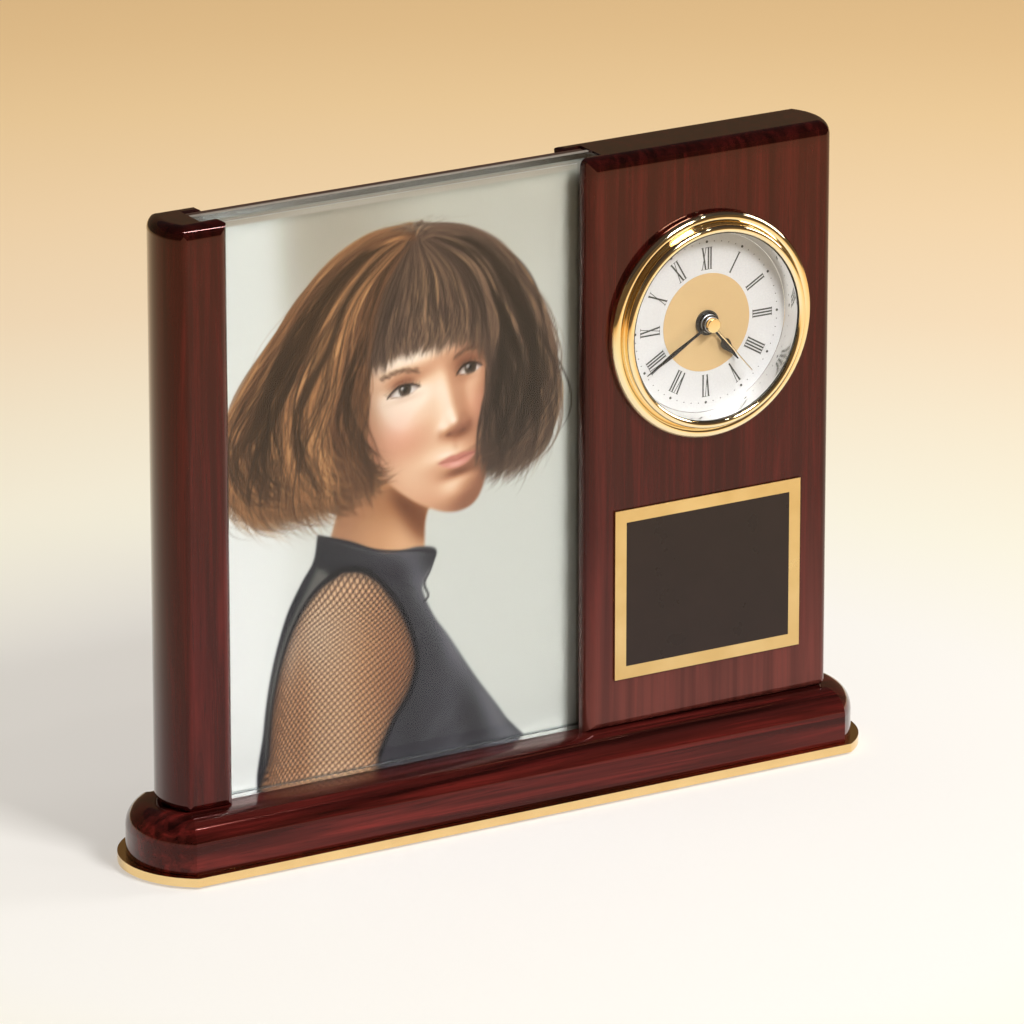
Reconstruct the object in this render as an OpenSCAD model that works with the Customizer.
/* [Base] */
// How far the metal plate runs past the uprights' corners at each end
base_margin = 3.5; // [2:0.5:12]
// Depth of the metal plate, front to back
base_depth = 44; // [40:0.5:60]
// How far each rounded end of the base bulges
end_bulge = 12; // [6:0.5:18]
// Thickness of the metal plate
plate_t = 2.7; // [1.5:0.1:4]
// Ledge of metal that shows round the wooden plank
plate_ledge = 2.5; // [1:0.1:4]
// Height of the plank's upright side
plank_side_h = 8.3; // [5:0.1:20]
// Radius of the plank's rounded top edge
plank_round = 8; // [3:0.5:8]
// Thickness of the felt under the plate
felt_t = 0.8; // [0.5:0.1:2]
// How far the felt stays inside the plate's edge
felt_inset = 3; // [1:0.5:6]

/* [Uprights] */
// Height of the two uprights above the base
upright_h = 181; // [150:1:230]
// Thickness of the two uprights, front to back
upright_t = 22; // [21:0.5:28]
// How far the outer end of each upright bulges
upright_bulge = 4; // [1:0.25:6]
// Width of the left post's front face
post_w = 15.5; // [13:0.5:30]
// Width of the clock panel's front face
panel_w = 86; // [80:1:110]
// Clear width between the two uprights
opening_w = 122.5; // [114:0.5:126]
// Radius along the top edges of the uprights
top_round = 4; // [1:0.25:5]
// Radius along the foot edges of the uprights
foot_round = 2.5; // [0.5:0.25:3]
// Radius of the vertical edges beside the glass
lip_round = 3.5; // [0.5:0.25:4]
// Radius of the outer vertical corners
corner_round = 2.5; // [1:0.25:3.5]
// Depth of the groove that holds the glass
groove_depth = 7.5; // [4:0.5:8.5]
// Wood left in front of the groove
front_lip_t = 4.5; // [4.2:0.1:5]

/* [Picture] */
// Thickness of the front glass
glass_t = 6; // [3:0.5:6]
// Thickness of the card behind the print
card_t = 1; // [0.6:0.1:1.6]
// Thickness of the back board
board_t = 3.5; // [2:0.5:4]
// Reach of the print into the groove at each side
print_tuck = 2.25; // [1:0.25:6]
// Height that the print stays below the uprights' top
print_drop = 3.2; // [2:0.1:10]
// Thickness of the print
print_t = 0.3; // [0.2:0.05:0.5]
// Play of each pane in its groove
pane_play = 0.3; // [0.2:0.05:0.4]
// Height that the glass stays below the uprights' top
glass_drop = 0.3; // [0.1:0.1:2]
// Height that the back board stays below the uprights' top
board_drop = 0.8; // [0.1:0.1:3]

/* [Name plate] */
// Width of the name plate
name_w = 66.7; // [40:0.1:74]
// Wood that shows between the base and the name plate
name_foot_gap = 15.6; // [6:0.1:30]
// Wood that shows between the name plate and the bezel
name_top_gap = 18.9; // [6:0.1:30]
// Thickness of its metal sheet
name_t = 0.6; // [0.4:0.1:1.2]
// Width of its bright border
name_border = 4; // [2:0.25:8]
// Depth of the dark lacquer field let into it
lacquer_t = 0.15; // [0.1:0.05:0.3]
// Thickness of the tape that holds it
tape_t = 0.2; // [0.1:0.05:0.4]

/* [Clock] */
// Distance from the clock's centre up to the panel's top
clock_down = 57; // [42:0.5:65]
// Outer diameter of the bezel
bezel_d = 71; // [69:0.5:74]
// Diameter of the hole through the panel
bore_d = 61; // [60.6:0.1:61.4]
// Height of the bezel's outer bead in front of the panel
outer_bead_h = 3.2; // [2.5:0.1:4]
// Width of the bezel's outer bead
outer_bead_w = 3.7; // [3:0.1:4]
// Height of the bezel's crest in front of the panel
crest_h = 5.6; // [5.4:0.1:7]
// Radius of the bezel's mouth, in front of the lens
mouth_r = 29.4; // [28.8:0.1:29.6]
// Thickness of the lens
lens_t = 1.2; // [0.8:0.1:1.3]
// Visible radius of the dial
sight_r = 28.2; // [27:0.1:28.3]
// Thickness of the dial
dial_t = 0.5; // [0.3:0.1:0.8]
// Depth of the dial's face behind the panel's face
dial_depth = 1.5; // [1.4:0.1:2]
// Diameter of the tinted disc at the dial's centre
dial_disc_d = 30.8; // [20:0.1:34]
// Thickness of the tinted disc
dial_disc_t = 0.1; // [0.05:0.05:0.2]
// Wall of the clock's plastic cup
cup_wall = 1.2; // [1.1:0.1:2]
// Thickness of the rubber band round the cup
band_t = 0.9; // [0.8:0.05:1]
// Width of the rubber band
band_w = 8; // [4:0.5:9]

/* [Hands] */
// Length of the hour hand
hour_len = 16.7; // [10:0.1:18]
// Length of the minute hand
minute_len = 26; // [16:0.5:26.5]
// Length of the second hand
second_len = 21.7; // [16:0.1:25]
// Time shown, as a share of twelve hours
shown_time_share = 0.3889; // [0:0.0001:1]
// Second shown, as a share of a minute
shown_second_share = 0.386; // [0:0.0001:1]
// Thickness of each hand
hand_t = 0.3; // [0.2:0.05:0.4]

/* [Movement] */
// Width and height of the quartz movement
movement_w = 36; // [36:0.5:37]
// Thickness of the movement's walls
movement_wall = 1.2; // [0.9:0.1:1.3]
// Depth of the movement
movement_depth = 11.6; // [11.6:0.1:12.5]
// Diameter of the button cell
cell_d = 11.6; // [9.5:0.1:11.6]
// Thickness of the button cell
cell_t = 5.4; // [3:0.1:5.4]
// Diameter of the setting knob
knob_d = 8; // [5:0.5:9]

/* [Fasteners] */
// Shank diameter of the long screws
screw_d = 4; // [3:0.25:4.5]
// Head diameter of the long screws
screw_head_d = 8; // [6:0.25:9]
// Reach of the long screws into the uprights
screw_reach = 24; // [12:1:50]
// Diameter of the wooden dowels
dowel_d = 6; // [4:0.5:6]
// Length of each half of a dowel
dowel_half = 9; // [6:0.5:11]
// Shank diameter of the small plate screws
plate_screw_d = 2.5; // [2:0.25:3]
// Length of the small plate screws
plate_screw_len = 11; // [6:0.5:14]

/* [Hidden] */
$fn = 96;

// Colours
rosewood = "#5a2420";
gold = "#e7bd6a";
brass = "#c9a24c";
steel = "#b9bcc2";
black_metal = "#1c1a1a";
dark_plastic = "#26262a";
white_plastic = "#e9e7e0";

// Overrun of every cut past the face that it opens
over = 1;
// Clearance round a shank or a dowel in its hole
hole_play = 0.1;
// Radial clearance of a turning arbor in its hole
run_play = 0.06;
// Gap between flat faces of pieces that move apart
seat_gap = 0.1;
// Small break of a sawn edge
edge_break = 0.3;
// Gap between pieces that move past each other
air = 0.3;

// Levels and places of the base and the uprights
plank_z = felt_t + plate_t;
plank_h = plank_side_h + plank_round;
base_top = plank_z + plank_h;
front_y = -upright_t / 2;
row_w = post_w + opening_w + panel_w;
base_length = row_w + 2 * base_margin;
post_x = -row_w / 2;
post_lip_x = post_x + post_w;
panel_lip_x = post_lip_x + opening_w;
panel_end_x = row_w / 2;
panel_mid_x = (panel_lip_x + panel_end_x) / 2;

// Radius of an arc from its chord and its rise
function arc_r(chord, rise) = (chord * chord / 4 + rise * rise) / (2 * rise);

// Half section of a disc of radius r and height h with rounded edges
module rounded_edge(r, h, top_r, foot_r) {
    translate([0, foot_r]) square([r, h - top_r - foot_r]);
    square([r - foot_r, h / 2]);
    translate([0, h / 2]) square([r - top_r, h / 2]);
    translate([r - foot_r, foot_r])
        intersection() {
            circle(foot_r);
            translate([0, -foot_r]) square(foot_r);
        }
    translate([r - top_r, h - top_r])
        intersection() {
            circle(top_r);
            square(top_r);
        }
}

// Keeps what lies left of an arc whose chord, depth long, stands at end_x
module arc_end(end_x, depth, rise, inset, h, top_r, foot_r) {
    hub_x = end_x + rise - arc_r(depth, rise);
    translate([-over, -depth / 2 - over, 0])
        cube([hub_x + over, depth + 2 * over, h]);
    translate([hub_x, 0, 0])
        rotate_extrude()
            rounded_edge(arc_r(depth, rise) - inset, h, top_r, foot_r);
}

// Bar along X from start_x, w deep and h high, with rounded long edges
module rounded_bar(start_x, length, w, h, top_r, foot_r) {
    translate([start_x, 0, 0])
        rotate([90, 0, 90])
            linear_extrude(length) {
                translate([-w / 2, foot_r]) square([w, h - top_r - foot_r]);
                translate([-w / 2 + foot_r, 0]) square([w - 2 * foot_r, h / 2]);
                translate([-w / 2 + top_r, h / 2]) square([w - 2 * top_r, h / 2]);
                for (side = [-1, 1]) {
                    translate([side * (w / 2 - top_r), h - top_r]) circle(top_r);
                    translate([side * (w / 2 - foot_r), foot_r]) circle(foot_r);
                }
            }
}

// Block with the base's outline, drawn in by inset
module base_block(inset, h, top_r, foot_r) {
    intersection() {
        rounded_bar(-base_length, 2 * base_length, base_depth - 2 * inset, h, top_r, foot_r);
        for (side = [0, 1])
            mirror([side, 0, 0])
                arc_end(base_length / 2, base_depth, end_bulge, inset, h, top_r, foot_r);
    }
}

// Flat sheet with the base's outline, drawn in by inset
module base_sheet(inset, h) {
    r = arc_r(base_depth, end_bulge);
    hub_x = base_length / 2 + end_bulge - r;
    linear_extrude(h)
        intersection() {
            square([2 * base_length, base_depth - 2 * inset], center = true);
            union() {
                square([2 * hub_x, base_depth], center = true);
                for (side = [-1, 1])
                    translate([side * hub_x, 0]) circle(r - inset);
            }
        }
}

// Places of the fasteners
row_share = 0.3;
quarter_share = 0.25;
screw_xs = [post_x + (post_w - groove_depth) / 2,
            panel_lip_x + panel_w * quarter_share, panel_end_x - panel_w * quarter_share];
dowel_xs = [panel_lip_x + 2 * dowel_d, panel_end_x - dowel_d];
plate_screw_xs = [-base_length * row_share, 0, base_length * row_share];
plate_screw_y = base_depth * quarter_share;

// Countersunk screw with its flat head down at the origin, or its hole
module countersunk(d, head_d, length, play) {
    cylinder(h = (head_d - d) / 2, d1 = head_d + 2 * play, d2 = d + 2 * play);
    cylinder(h = length + play, d = d + 2 * play);
}

module long_screws(play) {
    for (x = screw_xs)
        translate([x, 0, felt_t])
            countersunk(screw_d, screw_head_d, plate_t + plank_h + screw_reach, play);
}

module short_screws(play) {
    for (x = plate_screw_xs, side = [-1, 1])
        translate([x, side * plate_screw_y, felt_t])
            countersunk(plate_screw_d, 2 * plate_screw_d, plate_screw_len, play);
}

module dowels(play) {
    for (x = dowel_xs)
        translate([x, 0, base_top - dowel_half - play])
            cylinder(h = 2 * (dowel_half + play), d = dowel_d + 2 * play);
}

// Driver slot across the head of a screw at x, y
slot_share = 0.14;
module head_slot(x, y, head_d) {
    slot = head_d * slot_share;
    translate([x - head_d, y - slot / 2, felt_t - over])
        cube([2 * head_d, slot, over + slot]);
}

module base_felt() {
    color("#2c3a2e") base_sheet(felt_inset, felt_t);
}

module base_plate() {
    color(gold)
        difference() {
            translate([0, 0, felt_t]) base_sheet(0, plate_t);
            long_screws(hole_play);
            short_screws(hole_play);
        }
}

module base_plank() {
    color(rosewood)
        difference() {
            translate([0, 0, plank_z]) base_block(plate_ledge, plank_h, plank_round, edge_break);
            long_screws(hole_play);
            short_screws(hole_play);
            dowels(hole_play);
        }
}

module plate_screws() {
    color(brass)
        difference() {
            short_screws(0);
            for (x = plate_screw_xs, side = [-1, 1])
                head_slot(x, side * plate_screw_y, 2 * plate_screw_d);
        }
}

module upright_screws() {
    color(steel)
        difference() {
            long_screws(0);
            for (x = screw_xs) head_slot(x, 0, screw_head_d);
        }
}

module upright_dowels() {
    color("#c9a877") dowels(0);
}

// What the outer front corner loses to its rounding, in plan, for a face ending at w
module corner_waste(w) {
    r = corner_round;
    big = arc_r(upright_t, upright_bulge);
    hub_x = w + upright_bulge - big;
    y = r - upright_t / 2;
    x = hub_x + sqrt(pow(big - r, 2) - y * y);
    way = [x - hub_x, y] / (big - r);
    far = r + 2 * over;
    difference() {
        polygon([[x, y], [x, y - far], [x + far, y - far], [x, y] + way * far]);
        translate([x, y]) circle(r);
    }
}

// What the front corner beside the glass loses to its rounding, in plan
module lip_waste() {
    translate([lip_round, lip_round - upright_t / 2])
        rotate(180)
            difference() {
                square(lip_round + over);
                circle(lip_round);
            }
}

// What the top edge beside the glass loses to its rounding
module lip_top_waste() {
    translate([foot_round, upright_t, upright_h - foot_round])
        rotate([90, 0, 0])
            linear_extrude(2 * upright_t)
                difference() {
                    translate([-foot_round - over, 0]) square(foot_round + over);
                    circle(foot_round);
                }
}

// Groove for the card, the panes and the board, open at the top
groove_t = glass_t + print_t + card_t + board_t + 4 * pane_play;
groove_y = front_y + front_lip_t;
module groove() {
    translate([-over, groove_y, -over])
        cube([groove_depth + over, groove_t, upright_h + 2 * over]);
}

// Upright of width w, its glass side at x = 0 and its bulging end to the right
module upright(w) {
    intersection() {
        rounded_bar(0, w + upright_bulge, upright_t, upright_h, top_round, foot_round);
        arc_end(w, upright_t, upright_bulge, 0, upright_h, top_round, foot_round);
        difference() {
            translate([0, -upright_t / 2, 0])
                cube([w + upright_bulge, upright_t, upright_h]);
            translate([0, 0, -over])
                linear_extrude(upright_h + 2 * over)
                    for (side = [0, 1])
                        mirror([0, side]) {
                            corner_waste(w);
                            lip_waste();
                        }
            lip_top_waste();
            groove();
        }
    }
}

module left_post() {
    color(rosewood)
        difference() {
            translate([post_lip_x, 0, base_top])
                mirror([1, 0, 0]) upright(post_w);
            long_screws(hole_play);
        }
}

// Moves a shape drawn along +Z to the clock's axis, +Z pointing out of the front face
clock_z = base_top + upright_h - clock_down;
module on_clock() {
    translate([panel_mid_x, front_y, clock_z])
        rotate([90, 0, 0])
            children();
}

module clock_panel() {
    color(rosewood)
        difference() {
            translate([panel_lip_x, 0, base_top]) upright(panel_w);
            long_screws(hole_play);
            dowels(hole_play);
            on_clock()
                translate([0, 0, -upright_t - over])
                    cylinder(h = upright_t + 2 * over, d = bore_d);
        }
}

// Places of the panes, each with its play in front
glass_y = groove_y + pane_play;
print_y = glass_y + glass_t + pane_play;
card_y = print_y + print_t;
board_y = card_y + card_t + pane_play;
pane_w = opening_w + 2 * (groove_depth - pane_play);
print_w = opening_w + 2 * print_tuck;
print_h = upright_h - print_drop;
pane_mid_x = (post_lip_x + panel_lip_x) / 2;

// Upright sheet on the base, w wide and h high, its front face at y
module pane(w, h, t, y) {
    translate([pane_mid_x - w / 2, y, base_top + seat_gap]) cube([w, t, h]);
}

module back_board() {
    color("#4a3026") pane(pane_w, upright_h - board_drop - seat_gap, board_t, board_y);
}

module mount_card() {
    color("#b9b1a4") pane(pane_w, upright_h - glass_drop - seat_gap, card_t, card_y);
}

module photo_print() {
    color("#cdd2cb") pane(print_w, print_h, print_t, print_y);
}

module front_glass() {
    color("#bcd0cc", 0.4)
        pane(pane_w, upright_h - glass_drop - seat_gap, glass_t, glass_y);
}

// Height and centre of the name plate, between the base and the bezel
name_h = clock_z - bezel_d / 2 - name_top_gap - name_foot_gap - base_top;
name_mid_z = base_top + name_foot_gap + name_h / 2;

// Sheet on the panel's front face, its back lifted off the wood
module name_sheet(w, h, t, lift) {
    translate([panel_mid_x - w / 2, front_y - lift - t, name_mid_z - h / 2])
        cube([w, t, h]);
}

lacquer_lift = tape_t + name_t - lacquer_t;
module name_plate() {
    color(gold)
        difference() {
            name_sheet(name_w, name_h, name_t, tape_t);
            name_sheet(name_w - 2 * name_border, name_h - 2 * name_border,
                       lacquer_t + over, lacquer_lift);
        }
}

module name_plate_lacquer() {
    color("#241a17")
        name_sheet(name_w - 2 * name_border, name_h - 2 * name_border, lacquer_t,
                   lacquer_lift);
}

module name_plate_tape() {
    color("white") name_sheet(name_w - name_border, name_h - name_border, tape_t, 0);
}

// Levels and radii of the clock insert, counted from the panel's face
bezel_r = bezel_d / 2;
lip_t = 0.6;
lens_rebate = 1;
lens_z = crest_h - lip_t - lens_t;
lens_r = mouth_r + lens_rebate;
dial_z = -dial_depth;
cup_r = bore_d / 2 - band_t - run_play;
dial_r = (sight_r + cup_r) / 2;
cup_lip_t = 1;
movement_z = dial_z - dial_t - air;
cup_depth = movement_depth - movement_z + cup_lip_t / 2;

// Gilt ring: an outer bead, a groove, and a crest round the mouth
module clock_bezel() {
    outer_r = outer_bead_w / 2;
    crest_w = bezel_r - outer_bead_w - mouth_r;
    crest_r = crest_w / 2;
    color(gold)
        on_clock()
            rotate_extrude()
                difference() {
                    union() {
                        translate([mouth_r, seat_gap])
                            square([crest_w + outer_r, outer_bead_h / 2]);
                        translate([mouth_r, seat_gap])
                            square([crest_w, crest_h - crest_r - seat_gap]);
                        translate([mouth_r + crest_r, crest_h - crest_r]) circle(crest_r);
                        translate([bezel_r - outer_bead_w, seat_gap])
                            square([outer_bead_w, outer_bead_h - outer_r - seat_gap]);
                        translate([bezel_r - outer_r, outer_bead_h - outer_r])
                            circle(outer_r);
                    }
                    square([lens_r + run_play, lens_z + lens_t]);
                    translate([0, seat_gap - outer_bead_h])
                        square([bezel_r + over, outer_bead_h]);
                }
}

module clock_lens() {
    color("#dfe9ea", 0.3)
        on_clock()
            translate([0, 0, lens_z]) cylinder(h = lens_t, r = lens_r);
}

// Sloping gilt ring between the dial and the lens
module dial_ring() {
    color(gold)
        on_clock()
            rotate_extrude()
                polygon([[sight_r, dial_z], [dial_r, dial_z], [dial_r, seat_gap],
                         [lens_r, seat_gap], [lens_r, lens_z], [mouth_r, lens_z]]);
}

// Radii of the nested arbors and of the bush round them
arbor_wall = 0.4;
second_r = 0.35;
minute_in_r = second_r + run_play;
minute_out_r = minute_in_r + arbor_wall;
hour_in_r = minute_out_r + run_play;
hour_out_r = hour_in_r + arbor_wall;
bush_in_r = hour_out_r + run_play;
bush_wall = 1.4;
bush_r = bush_in_r + bush_wall;
pin_r = 0.35;

// Disc of thickness t on the dial's axis, with a hole for the bush
module bushed_disc(z, t, r) {
    on_clock()
        translate([0, 0, z])
            linear_extrude(t)
                difference() {
                    circle(r);
                    circle(bush_r + hole_play);
                }
}

module clock_dial() {
    color("#ece9e4") bushed_disc(dial_z - dial_t, dial_t, dial_r);
}

module dial_centre() {
    color("#d9b98a") bushed_disc(dial_z, dial_disc_t, dial_disc_d / 2);
}

module clock_cup() {
    color(dark_plastic)
        on_clock()
            difference() {
                translate([0, 0, -cup_depth]) cylinder(h = cup_depth, r = cup_r);
                translate([0, 0, dial_z - dial_t])
                    cylinder(h = cup_depth, r = dial_r + run_play);
                translate([0, 0, cup_lip_t - cup_depth])
                    cylinder(h = cup_depth, r = cup_r - cup_wall);
                translate([0, 0, -cup_depth])
                    cube([movement_w + 2 * air, movement_w + 2 * air,
                          2 * (cup_lip_t + over)], center = true);
            }
}

rib_count = 4;
module fit_band() {
    rib_w = band_w / (2 * rib_count);
    color("#1b1b1d")
        on_clock()
            translate([0, 0, -(cup_depth + band_w) / 2])
                rotate_extrude() {
                    translate([cup_r, 0]) square([band_t / 2, band_w]);
                    for (i = [0 : rib_count - 1])
                        translate([cup_r, 2 * i * rib_w]) square([band_t, rib_w]);
                }
}

// Levels of the nut and the hands over the dial
nut_h = 0.9;
nut_r = 3.9;
hand_step = 1.2;
collar_h = 0.6;
cap_h = 1.1;
hour_z = dial_z + nut_h + air;
minute_z = hour_z + hand_step;
second_z = minute_z + hand_step;

module dial_nut() {
    color(dark_plastic)
        bushed_disc(dial_z + dial_disc_t, nut_h - dial_disc_t, nut_r);
}

// Flat hand along +Y; rows are [half width, distance] in shares of the width and length
module hand_blade(length, width, rows) {
    last = len(rows) - 1;
    polygon(concat([for (row = rows) [row[0] * width / 2, row[1] * length]],
                   [for (i = [last : -1 : 0])
                       [-rows[i][0] * width / 2, rows[i][1] * length]]));
}

hour_blade_w = 3.4;
minute_blade_w = 1.5;
second_blade_w = 0.5;
hour_collar_r = 3.5;
minute_collar_r = 3;
cap_r = 2.3;
hour_shares = [[0.24, 0], [0.2, 0.45], [0.75, 0.49], [1, 0.57], [0.88, 0.65],
               [0.4, 0.76], [0.12, 1]];
minute_shares = [[0.5, 0], [1, 0.58], [0.6, 0.78], [0.15, 1]];
second_shares = [[1, 0], [0.45, 1]];

// Blade, turned clockwise by a share of a full turn, with a collar that arbor_r passes
module hand(length, width, rows, turn_share, z, collar_r, arbor_r) {
    on_clock()
        translate([0, 0, z])
            difference() {
                union() {
                    rotate(-360 * turn_share)
                        linear_extrude(hand_t) hand_blade(length, width, rows);
                    cylinder(h = collar_h, r = collar_r);
                }
                translate([0, 0, -over]) cylinder(h = collar_h + 2 * over, r = arbor_r);
            }
}

module hour_hand() {
    color(black_metal)
        hand(hour_len, hour_blade_w, hour_shares, shown_time_share, hour_z, hour_collar_r,
             hour_out_r);
}

module minute_hand() {
    color(black_metal)
        hand(minute_len, minute_blade_w, minute_shares, 12 * shown_time_share, minute_z,
             minute_collar_r, minute_out_r);
}

module second_hand() {
    color(gold)
        on_clock()
            translate([0, 0, second_z]) {
                rotate(-360 * shown_second_share)
                    linear_extrude(hand_t)
                        hand_blade(second_len, second_blade_w, second_shares);
                cylinder(h = cap_h, r = cap_r);
            }
}

// Layers of wheels behind the movement's front wall
wheel_t = 0.8;
layer_pitch = 1.2;
front_wall_z = movement_z - movement_wall;
rear_z = movement_z - movement_depth;
rear_wall_z = rear_z + movement_wall;
function layer_z(n) = front_wall_z - air - n * layer_pitch - wheel_t;

// Tooth counts
cannon_teeth = 8;
minute_teeth = 24;
minute_pinion_teeth = 8;
hour_teeth = 32;
second_pinion_teeth = 8;
third_teeth = 60;
third_pinion_teeth = 8;
centre_teeth = 64;
second_teeth = 40;
step_pinion_teeth = 8;
step_teeth = 48;
rotor_teeth = 8;

// Tooth modules, two of them worked out so that paired wheels share their distance
minute_mod = 0.4;
third_mod = 0.22;
second_mod = 0.32;
step_mod = 0.2;
minute_far = minute_mod * (cannon_teeth + minute_teeth) / 2;
hour_mod = 2 * minute_far / (minute_pinion_teeth + hour_teeth);
third_far = third_mod * (second_pinion_teeth + third_teeth) / 2;
centre_mod = 2 * third_far / (third_pinion_teeth + centre_teeth);
step_far = second_mod * (step_pinion_teeth + second_teeth) / 2;
rotor_far = step_mod * (step_teeth + rotor_teeth) / 2;

// Directions from the dial's axis, and the places of the arbors
minute_way = 135;
third_way = -45;
step_way = 30;
rotor_way = 75;
cell_way = 225;
function polar(r, a) = [r * cos(a), r * sin(a)];
minute_at = polar(minute_far, minute_way);
knob_at = polar(2 * minute_far, minute_way);
third_at = polar(third_far, third_way);
step_at = polar(step_far, step_way);
rotor_at = step_at + polar(rotor_far, rotor_way);

// Tooth direction of a wheel of zb teeth, lying at angle way from one of za teeth
function mesh_phase(pa, za, zb, way) = way + 180 + 180 / zb + (way - pa) * za / zb;
minute_phase = mesh_phase(minute_way, cannon_teeth, minute_teeth, minute_way);
knob_phase = mesh_phase(minute_phase, minute_teeth, cannon_teeth, minute_way);
hour_phase = mesh_phase(minute_way + 180, minute_pinion_teeth, hour_teeth,
                        minute_way + 180);
third_phase = mesh_phase(third_way, second_pinion_teeth, third_teeth, third_way);
centre_phase = mesh_phase(third_way + 180, third_pinion_teeth, centre_teeth,
                          third_way + 180);
second_phase = mesh_phase(step_way + 180, step_pinion_teeth, second_teeth,
                          step_way + 180);
rotor_phase = mesh_phase(rotor_way, step_teeth, rotor_teeth, rotor_way);

// Tooth height over and under the pitch circle, and half widths as shares of the pitch
tip_share = 0.75;
root_share = 1.1;
tip_width_share = 0.08;
root_width_share = 0.18;

// Toothed wheel at layer n with one tooth pointing along phase, and a hole or none
module wheel(teeth, tooth_mod, phase, n, hole_r) {
    tip_r = tooth_mod * (teeth / 2 + tip_share);
    root_r = tooth_mod * (teeth / 2 - root_share);
    step = 360 / teeth;
    translate([0, 0, layer_z(n)])
        linear_extrude(wheel_t)
            difference() {
                polygon([for (i = [0 : teeth - 1])
                    for (e = [[root_r, -root_width_share], [tip_r, -tip_width_share],
                              [tip_r, tip_width_share], [root_r, root_width_share]])
                        polar(e[0], phase + step * (i + e[1]))]);
                if (hole_r > 0) circle(hole_r);
            }
}

module tube(z0, z1, r_out, r_in) {
    translate([0, 0, z0])
        linear_extrude(z1 - z0)
            difference() {
                circle(r_out);
                circle(r_in);
            }
}

// Solid arbor between pivot holes in the movement's two walls
pivot_in = 0.5;
module full_arbor() {
    translate([0, 0, rear_wall_z - pivot_in])
        cylinder(h = front_wall_z - rear_wall_z + 2 * pivot_in, r = pin_r);
}

module hour_wheel() {
    color(white_plastic)
        on_clock() {
            wheel(hour_teeth, hour_mod, hour_phase, 0, hour_in_r);
            tube(layer_z(0), hour_z + collar_h, hour_out_r, hour_in_r);
        }
}

module minute_arbor() {
    color(brass)
        on_clock() {
            wheel(cannon_teeth, minute_mod, minute_way, 1, minute_in_r);
            tube(layer_z(2) - seat_gap, minute_z + collar_h, minute_out_r, minute_in_r);
        }
}

module minute_wheel() {
    hole_r = pin_r + run_play;
    color(white_plastic)
        on_clock()
            translate(minute_at) {
                wheel(minute_teeth, minute_mod, minute_phase, 1, hole_r);
                wheel(minute_pinion_teeth, hour_mod, minute_way + 180, 0, hole_r);
                tube(layer_z(1), layer_z(0) + wheel_t, 2 * pin_r, hole_r);
            }
}

module centre_wheel() {
    color(white_plastic)
        on_clock()
            wheel(centre_teeth, centre_mod, centre_phase, 2, minute_out_r + run_play);
}

module third_wheel() {
    color(white_plastic)
        on_clock()
            translate(third_at) {
                wheel(third_pinion_teeth, centre_mod, third_way + 180, 2, 0);
                wheel(third_teeth, third_mod, third_phase, 3, 0);
                full_arbor();
            }
}

module second_wheel() {
    color(white_plastic)
        on_clock() {
            wheel(second_pinion_teeth, third_mod, third_way, 3, 0);
            wheel(second_teeth, second_mod, second_phase, 4, 0);
            translate([0, 0, rear_wall_z - pivot_in])
                cylinder(h = second_z - rear_wall_z + pivot_in, r = second_r);
        }
}

module step_wheel() {
    color(white_plastic)
        on_clock()
            translate(step_at) {
                wheel(step_pinion_teeth, second_mod, step_way + 180, 4, 0);
                wheel(step_teeth, step_mod, rotor_way, 5, 0);
                full_arbor();
            }
}

magnet_r = 1.5;
magnet_z = layer_z(4);
module rotor() {
    color("#6b6f76")
        on_clock()
            translate(rotor_at) {
                wheel(rotor_teeth, step_mod, rotor_phase, 5, 0);
                translate([0, 0, magnet_z]) cylinder(h = 2 * wheel_t, r = magnet_r);
                full_arbor();
            }
}

// Coil along the top wall, its iron core lying on the stator's two legs
coil_r = 2.2;
coil_length = 12;
core_r = 0.9;
flange_t = 0.8;
stator_t = 0.8;
stator_leg = 2.4;
stator_half = 2.2;
coil_z = magnet_z + wheel_t;
coil_at = [rotor_at[0] - coil_length / 2, movement_w / 2 - movement_wall - air - coil_r];

module stator() {
    half = coil_length / 2 + stator_leg;
    color(steel)
        on_clock()
            translate([coil_at[0], 0, coil_z - stator_t / 2])
                linear_extrude(stator_t)
                    difference() {
                        translate([-half, rotor_at[1] - stator_half])
                            square([2 * half, coil_at[1] + core_r - rotor_at[1]
                                    + stator_half]);
                        translate([-coil_length / 2, rotor_at[1] + stator_half])
                            square([coil_length, movement_w]);
                        translate([coil_length / 2, rotor_at[1]])
                            circle(magnet_r + air);
                    }
}

module coil() {
    color("#a4502a")
        on_clock()
            translate([coil_at[0], coil_at[1], coil_z])
                rotate([0, 90, 0])
                    rotate_extrude() {
                        translate([0, -coil_length / 2]) square([core_r, coil_length]);
                        translate([0, -coil_length / 2 + flange_t])
                            square([coil_r - flange_t / 2, coil_length - 2 * flange_t]);
                        for (side = [-1, 1])
                            translate([0, side * (coil_length - flange_t) / 2
                                       - flange_t / 2])
                                square([coil_r, flange_t]);
                    }
}

board_w = 6;
board_h = 17;
pcb_t = 0.8;
chip_r = 1.8;
chip_t = 0.5;
module circuit_board() {
    color("#2f6a3a")
        on_clock()
            translate([movement_w / 2 - movement_wall - air - board_w,
                       third_at[1] - board_h / 2, rear_wall_z + air]) {
                cube([board_w, board_h, pcb_t]);
                translate([board_w / 2, board_h / 2, pcb_t]) cylinder(h = chip_t, r = chip_r);
            }
}

// Button cell behind the wheels, its cover flush with the movement's back
cover_t = 1;
cell_gap = air;
cell_z = rear_z + cover_t;
cell_far = sqrt(2) * (movement_w / 2 - movement_wall - cell_d / 2 - 2 * cell_gap);
cell_at = polar(cell_far, cell_way);

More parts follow.
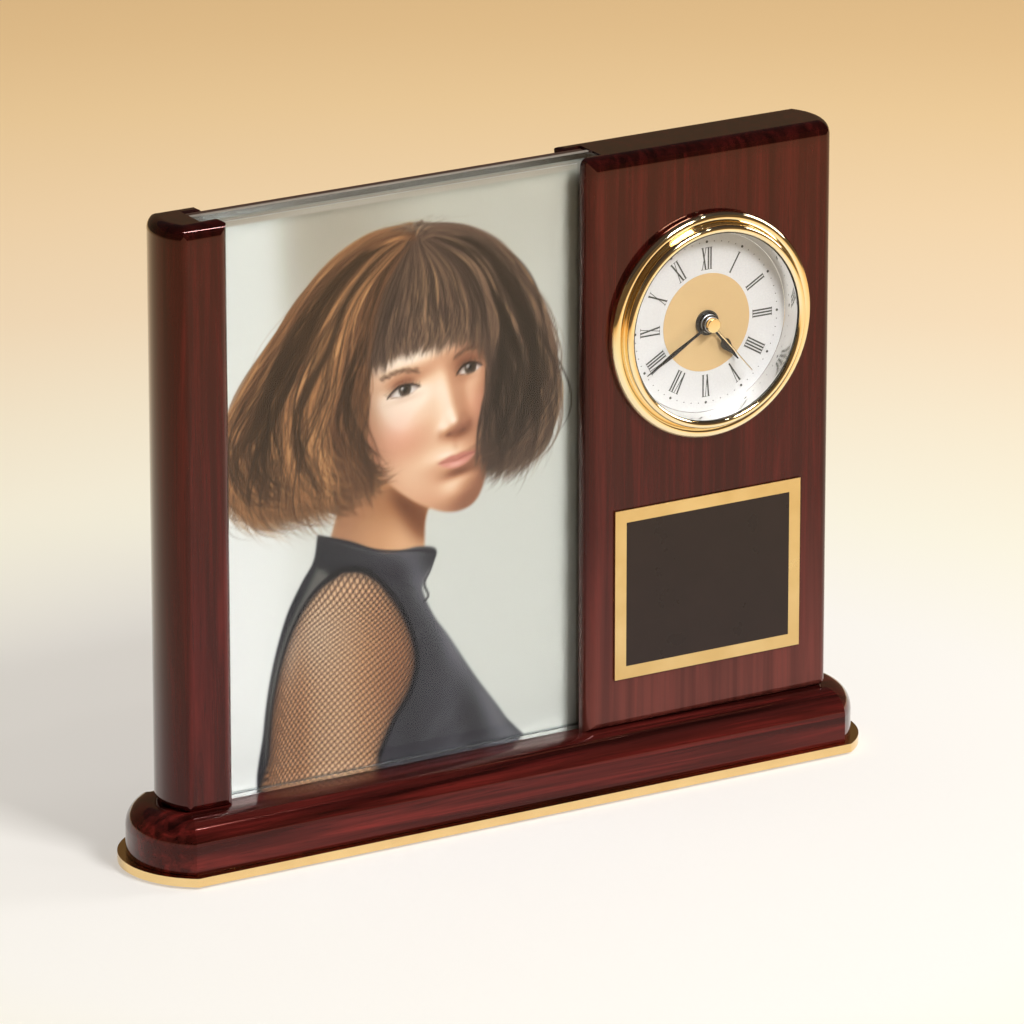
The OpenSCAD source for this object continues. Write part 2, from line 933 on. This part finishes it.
module button_cell() {
    rim_t = 0.8;
    color("#d5d7da")
        on_clock()
            translate([cell_at[0], cell_at[1], cell_z]) {
                cylinder(h = cell_t - rim_t, d = cell_d);
                cylinder(h = cell_t, d = cell_d - 2 * rim_t);
            }
}

cover_slot_w = 1.6;
module cell_cover() {
    color(dark_plastic)
        on_clock()
            translate([cell_at[0], cell_at[1], rear_z])
                difference() {
                    cylinder(h = cover_t - seat_gap, d = cell_d + cell_gap);
                    translate([-cell_d / 3, -cover_slot_w / 2, -over])
                        cube([2 * cell_d / 3, cover_slot_w, over + cover_t / 2]);
                }
}

// Two sprung strips, one over the cell's front face and one beside its rim
contact_t = 0.3;
contact_w = 3;
module cell_contacts() {
    foot = rear_wall_z - cell_z + seat_gap;
    color(brass)
        on_clock()
            translate([cell_at[0], cell_at[1] - contact_w / 2, cell_z]) {
                translate([-contact_w / 2, 0, cell_t + seat_gap])
                    cube([cell_d / 2 + 2 * contact_w, contact_w, contact_t]);
                translate([cell_d / 2 + seat_gap, 0, foot])
                    cube([contact_t, contact_w, cell_t - contact_t - foot]);
            }
}

shaft_r = 1;
knob_h = 2.4;
knob_flutes = 24;
flute_r = 0.35;
module setting_knob() {
    color(dark_plastic)
        on_clock()
            translate(knob_at) {
                wheel(cannon_teeth, minute_mod, knob_phase, 1, 0);
                translate([0, 0, rear_z - air])
                    cylinder(h = layer_z(1) - rear_z + air, r = shaft_r);
                translate([0, 0, rear_z - air - knob_h])
                    linear_extrude(knob_h)
                        difference() {
                            circle(d = knob_d);
                            for (i = [1 : knob_flutes])
                                rotate(i * 360 / knob_flutes)
                                    translate([knob_d / 2, 0]) circle(flute_r);
                        }
            }
}

// Front shell, open at the back, with the bush, a post and pivot holes
module movement_front() {
    inner_w = movement_w - 2 * movement_wall;
    color(white_plastic)
        on_clock()
            difference() {
                union() {
                    difference() {
                        translate([-movement_w / 2, -movement_w / 2, rear_wall_z])
                            cube([movement_w, movement_w, movement_z - rear_wall_z]);
                        translate([-inner_w / 2, -inner_w / 2, rear_wall_z - over])
                            cube([inner_w, inner_w, front_wall_z - rear_wall_z + over]);
                    }
                    translate([0, 0, front_wall_z])
                        cylinder(h = dial_z + nut_h - front_wall_z, r = bush_r);
                    translate([minute_at[0], minute_at[1], layer_z(1)])
                        cylinder(h = movement_z - layer_z(1), r = pin_r);
                }
                translate([0, 0, front_wall_z - over])
                    cylinder(h = movement_depth, r = bush_in_r);
                for (p = [third_at, step_at, rotor_at])
                    translate([p[0], p[1], front_wall_z - over])
                        cylinder(h = over + pivot_in + seat_gap, r = pin_r + run_play);
            }
}

module movement_rear() {
    color("#3a3b40")
        on_clock()
            difference() {
                translate([-movement_w / 2, -movement_w / 2, rear_z])
                    cube([movement_w, movement_w, movement_wall]);
                for (p = [third_at, step_at, rotor_at, [0, 0]])
                    translate([p[0], p[1], rear_wall_z - pivot_in - seat_gap])
                        cylinder(h = over + pivot_in, r = pin_r + run_play);
                translate([knob_at[0], knob_at[1], rear_z - over])
                    cylinder(h = movement_wall + 2 * over, r = shaft_r + run_play);
                translate([cell_at[0], cell_at[1], rear_z - over])
                    cylinder(h = movement_wall + 2 * over, d = cell_d + 2 * cell_gap);
            }
}

base_felt();
base_plate();
base_plank();
plate_screws();
upright_screws();
upright_dowels();
left_post();
clock_panel();
back_board();
mount_card();
photo_print();
front_glass();
name_plate();
name_plate_lacquer();
name_plate_tape();
clock_bezel();
clock_lens();
dial_ring();
clock_dial();
dial_centre();
clock_cup();
fit_band();
dial_nut();
hour_hand();
minute_hand();
second_hand();
movement_front();
movement_rear();
hour_wheel();
minute_arbor();
minute_wheel();
centre_wheel();
third_wheel();
second_wheel();
step_wheel();
rotor();
stator();
coil();
circuit_board();
cell_contacts();
button_cell();
cell_cover();
setting_knob();
